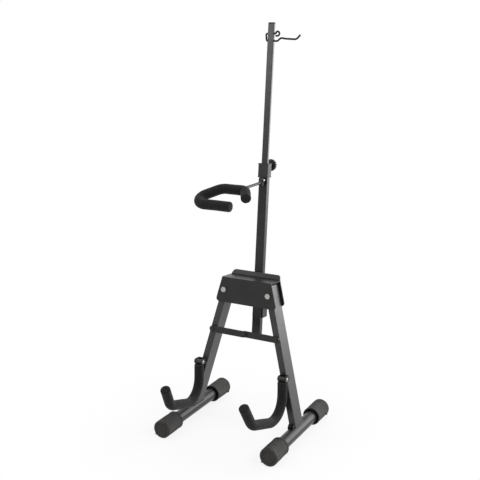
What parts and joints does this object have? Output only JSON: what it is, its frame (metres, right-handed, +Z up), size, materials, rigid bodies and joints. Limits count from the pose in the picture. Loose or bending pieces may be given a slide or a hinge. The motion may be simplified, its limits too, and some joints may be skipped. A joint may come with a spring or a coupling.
{
  "type": "violin stand",
  "caption": "Folding violin stand with foam-padded support arms, a drooping foam neck yoke, a telescoping mast with a clamp knob, and a wire bow hook.",
  "frame": {"origin": "on the floor, midway between the feet, which are centred on it front to back", "axes": "+Z up; -Y is the front, where the instrument faces; +X is the right seen from the front"},
  "size_m": [0.2528, 0.2692, 0.7424],
  "materials": {
    "paint": "satin",
    "foam": "matte",
    "rubber": "matte",
    "plastic": "matte",
    "zinc": "satin"
  },
  "bodies": {
    "hub_and_mast": {"hub_saddle": "paint", "hub_bolt_right": "zinc", "hub_bolt_left": "zinc", "hub_nut_right": "zinc", "hub_nut_left": "zinc", "mast_bracket": "paint", "bracket_rivet_right": "zinc", "bracket_rivet_left": "zinc", "mast_lower": "paint", "clamp_collar": "plastic", "yoke_clevis": "paint", "yoke_rivet": "zinc"},
    "mast_slider": {"mast_upper": "paint", "mast_guide": "plastic", "mast_cap": "plastic", "bow_hook": "paint"},
    "knob": {"clamp_knob": "plastic"},
    "yoke": {"yoke_rod": "paint", "yoke_foam": "foam"},
    "right_leg": {"leg_right": "paint", "foot_tube_right": "paint", "foot_cap_front_right": "rubber", "foot_cap_rear_right": "rubber", "leg_plug_right": "plastic", "arm_bracket_right": "paint", "arm_bolt_right": "zinc", "brace_rivet_right": "paint"},
    "right_arm": {"arm_rod_right": "paint", "arm_foam_right": "foam"},
    "right_brace": {"brace_link_right": "paint", "knee_rivet_right": "paint"},
    "left_leg": {"leg_left": "paint", "foot_tube_left": "paint", "foot_cap_front_left": "rubber", "foot_cap_rear_left": "rubber", "leg_plug_left": "plastic", "arm_bracket_left": "paint", "arm_bolt_left": "zinc", "brace_rivet_left": "paint"},
    "left_arm": {"arm_rod_left": "paint", "arm_foam_left": "foam"},
    "left_brace": {"brace_link_left": "paint", "knee_rivet_left": "paint"}
  },
  "joints": [
    {"name": "leg_fold_right", "type": "hinge", "parent": "hub_and_mast", "child": "right_leg", "pos_m": [0.04546, 0.02671, 0.26074], "axis": [0, 0.9957, -0.0924], "range_deg": [0, 14.5]},
    {"name": "leg_fold_left", "type": "hinge", "parent": "hub_and_mast", "child": "left_leg", "pos_m": [-0.04546, 0.02671, 0.26074], "axis": [0, -0.9957, 0.0924], "range_deg": [0, 14.5]},
    {"name": "brace_turn_right", "type": "hinge", "parent": "right_leg", "child": "right_brace", "pos_m": [0.06588, 0.01949, 0.1829], "axis": [0, 0.9957, -0.0924], "range_deg": [0, 32]},
    {"name": "brace_turn_left", "type": "hinge", "parent": "left_leg", "child": "left_brace", "pos_m": [-0.06588, 0.01949, 0.1829], "axis": [0, -0.9957, 0.0924], "range_deg": [0, 32]},
    {"name": "mast_slide", "type": "slide", "parent": "hub_and_mast", "child": "mast_slider", "axis": [0, 0.0924, 0.9957], "range_m": [-0.2, 0.04]},
    {"name": "knob_turn", "type": "hinge", "parent": "hub_and_mast", "child": "knob", "pos_m": [0, 0.08183, 0.48683], "axis": [0, 0.9957, -0.0924], "range_deg": [0, 300]},
    {"name": "yoke_fold", "type": "hinge", "parent": "hub_and_mast", "child": "yoke", "pos_m": [0, 0.06907, 0.4619], "axis": [-1, 0, 0], "range_deg": [0, 85]},
    {"name": "arm_fold_right", "type": "hinge", "parent": "right_leg", "child": "right_arm", "pos_m": [0.0875, -0.0154, 0.1198], "axis": [-1, 0, 0], "range_deg": [0, 95]},
    {"name": "arm_fold_left", "type": "hinge", "parent": "left_leg", "child": "left_arm", "pos_m": [-0.0875, -0.0154, 0.1198], "axis": [-1, 0, 0], "range_deg": [0, 95]}
  ],
  "couplings": [
    {"joint": "leg_fold_left", "follows": "leg_fold_right", "ratio": 1},
    {"joint": "brace_turn_right", "follows": "leg_fold_right", "ratio": 2.2},
    {"joint": "brace_turn_left", "follows": "leg_fold_right", "ratio": 2.2}
  ]
}
